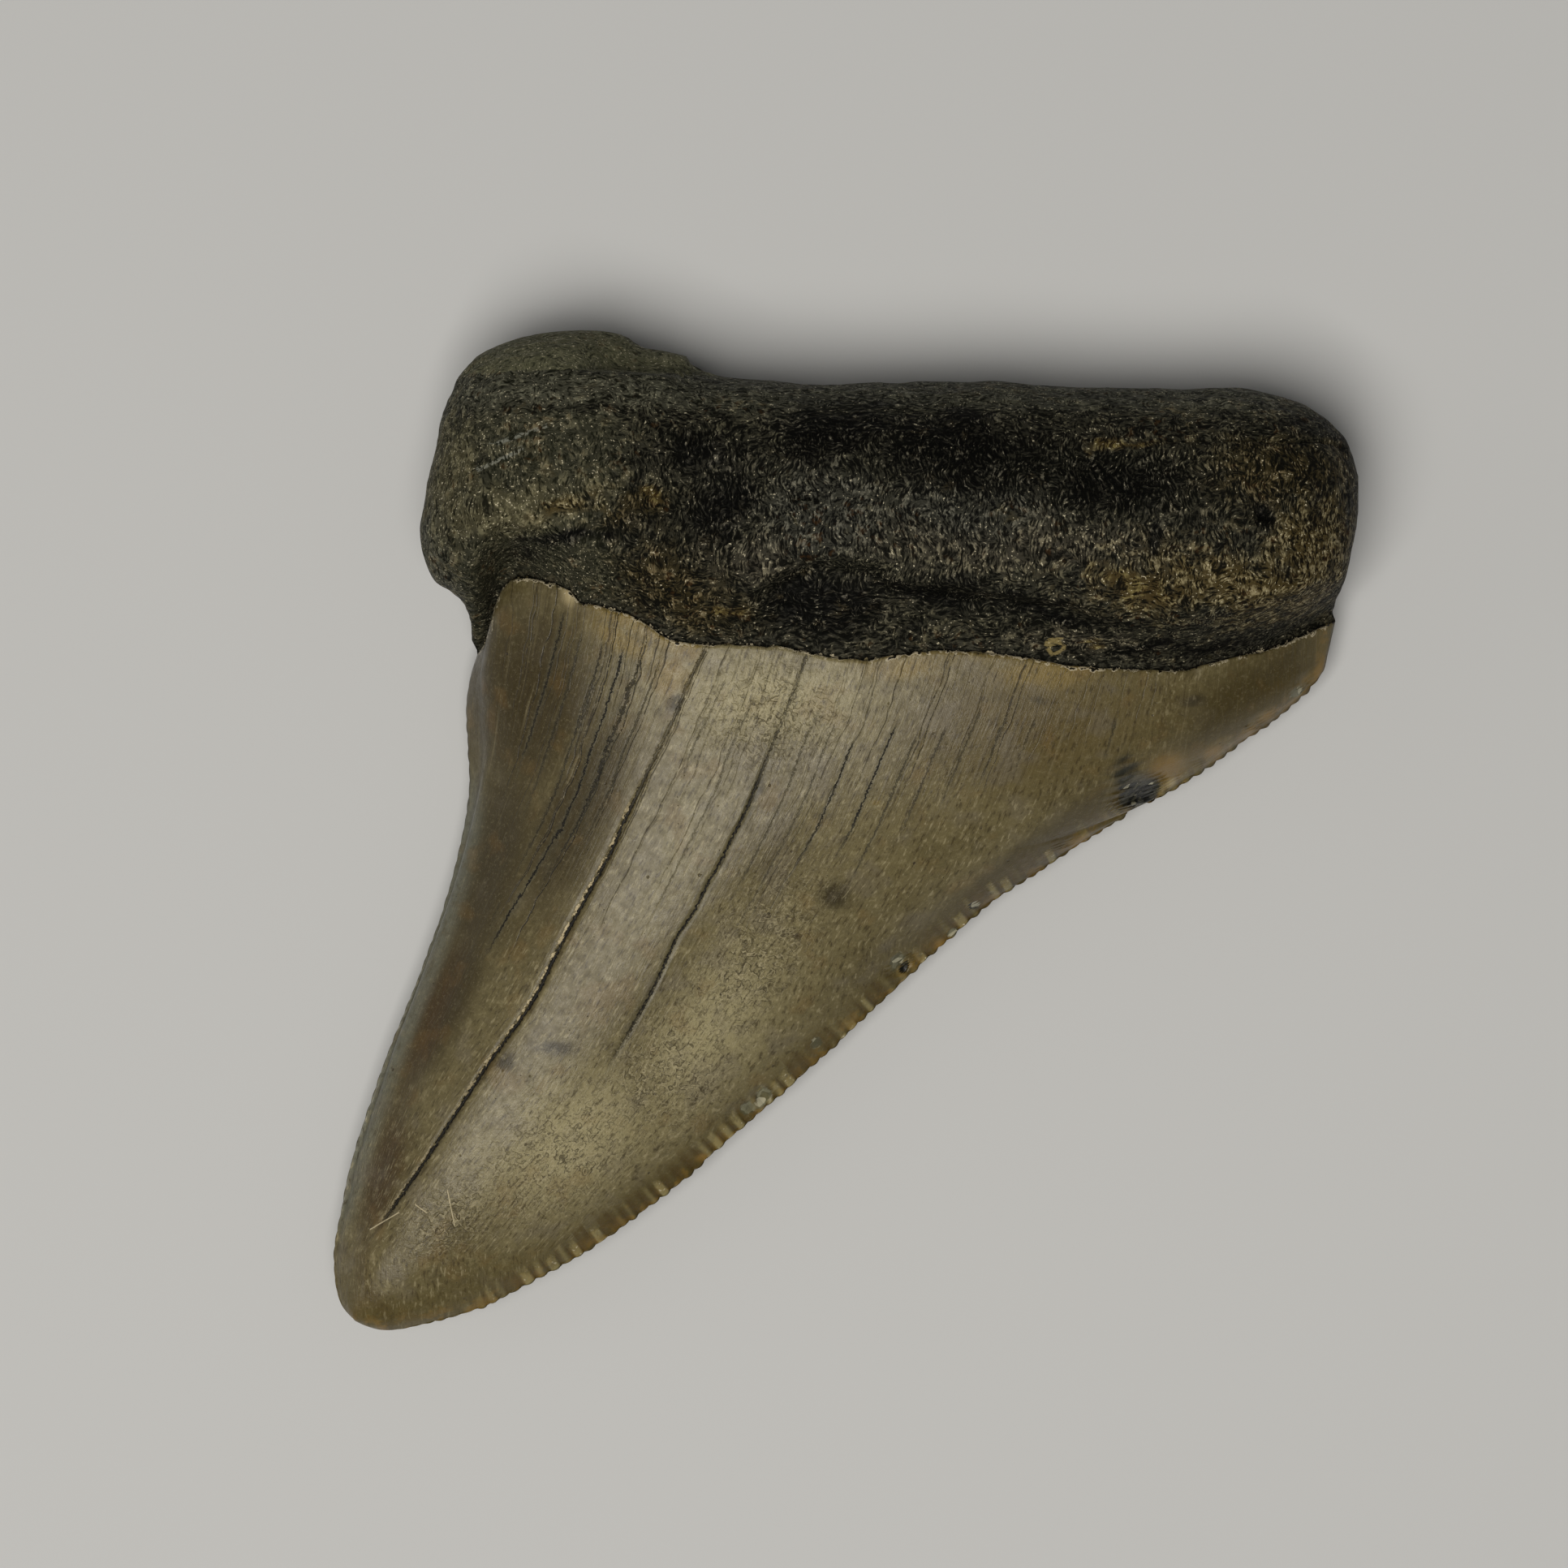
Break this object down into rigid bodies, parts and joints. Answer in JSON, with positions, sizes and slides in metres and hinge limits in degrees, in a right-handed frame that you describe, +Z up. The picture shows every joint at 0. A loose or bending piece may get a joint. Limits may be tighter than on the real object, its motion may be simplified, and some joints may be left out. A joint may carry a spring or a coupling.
{
  "type": "fossil shark tooth",
  "caption": "Large fossil shark tooth, broad and serrated with a leaning crown and a swollen root, lying on its flat outer face.",
  "frame": {"origin": "middle of the tooth's outline, on the surface that it lies on", "axes": "+Z up through the tooth's thickness, +Y from the tip to the root, +X towards the long cutting edge"},
  "size_m": [0.0563, 0.0548, 0.0145],
  "materials": {
    "fossil": "semi-gloss grey-brown fossil enamel on the crown, dull mottled stony root"
  },
  "bodies": {
    "root": {"tooth": "fossil"}
  },
  "joints": []
}
